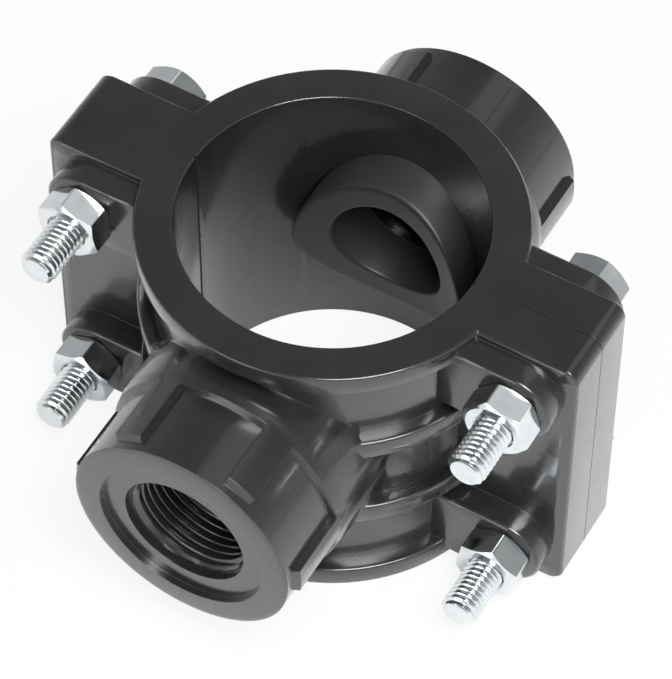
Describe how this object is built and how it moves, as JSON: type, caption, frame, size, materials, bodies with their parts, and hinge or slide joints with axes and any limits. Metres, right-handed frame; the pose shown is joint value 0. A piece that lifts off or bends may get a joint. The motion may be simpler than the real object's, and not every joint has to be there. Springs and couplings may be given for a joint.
{
  "type": "tapping saddle",
  "caption": "Bolted clamp saddle for plastic pressure pipe: moulded half rings with opposed female-threaded outlets, rubber gaskets and hexagon bolts through side ears.",
  "frame": {"origin": "on the pipe bore's axis, at the lower end face the saddle stands on", "axes": "+Z along the pipe bore, +X along the bolted ears, -Y out of the front outlet (nut side), +Y out of the rear outlet (bolt-head side)"},
  "size_m": [0.121, 0.12, 0.0712],
  "materials": {
    "saddle_plastic": "moulded black polypropylene, glossy",
    "gasket_rubber": "matte dark grey rubber",
    "zinc_steel": "bright zinc plating with a faint blue tint"
  },
  "bodies": {
    "rear_assembly": {"rear_half": "saddle_plastic", "rear_gasket": "gasket_rubber", "bolt_upper_left": "zinc_steel", "bolt_lower_left": "zinc_steel", "bolt_upper_right": "zinc_steel", "bolt_lower_right": "zinc_steel"},
    "front_assembly": {"front_half": "saddle_plastic", "front_gasket": "gasket_rubber"},
    "nut_upper_left": {"nut_upper_left": "zinc_steel"},
    "nut_lower_left": {"nut_lower_left": "zinc_steel"},
    "nut_upper_right": {"nut_upper_right": "zinc_steel"},
    "nut_lower_right": {"nut_lower_right": "zinc_steel"}
  },
  "joints": [
    {"name": "front_half_slide", "type": "slide", "parent": "rear_assembly", "child": "front_assembly", "axis": [0, -1, 0], "range_m": [0, 0.008]},
    {"name": "nut_upper_left_spin", "type": "hinge", "parent": "front_assembly", "child": "nut_upper_left", "pos_m": [-0.04891, -0.01925, 0.06044], "axis": [0, -1, 0], "range_deg": [0, 2340]},
    {"name": "nut_lower_left_spin", "type": "hinge", "parent": "front_assembly", "child": "nut_lower_left", "pos_m": [-0.04891, -0.01925, 0.01076], "axis": [0, -1, 0], "range_deg": [0, 2340]},
    {"name": "nut_upper_right_spin", "type": "hinge", "parent": "front_assembly", "child": "nut_upper_right", "pos_m": [0.04891, -0.01925, 0.06044], "axis": [0, -1, 0], "range_deg": [0, 2340]},
    {"name": "nut_lower_right_spin", "type": "hinge", "parent": "front_assembly", "child": "nut_lower_right", "pos_m": [0.04891, -0.01925, 0.01076], "axis": [0, -1, 0], "range_deg": [0, 2340]}
  ],
  "couplings": [
    {"joint": "nut_upper_left_spin", "follows": "front_half_slide", "rad_per_m": 5026.5},
    {"joint": "nut_lower_left_spin", "follows": "front_half_slide", "rad_per_m": 5026.5},
    {"joint": "nut_upper_right_spin", "follows": "front_half_slide", "rad_per_m": 5026.5},
    {"joint": "nut_lower_right_spin", "follows": "front_half_slide", "rad_per_m": 5026.5}
  ]
}
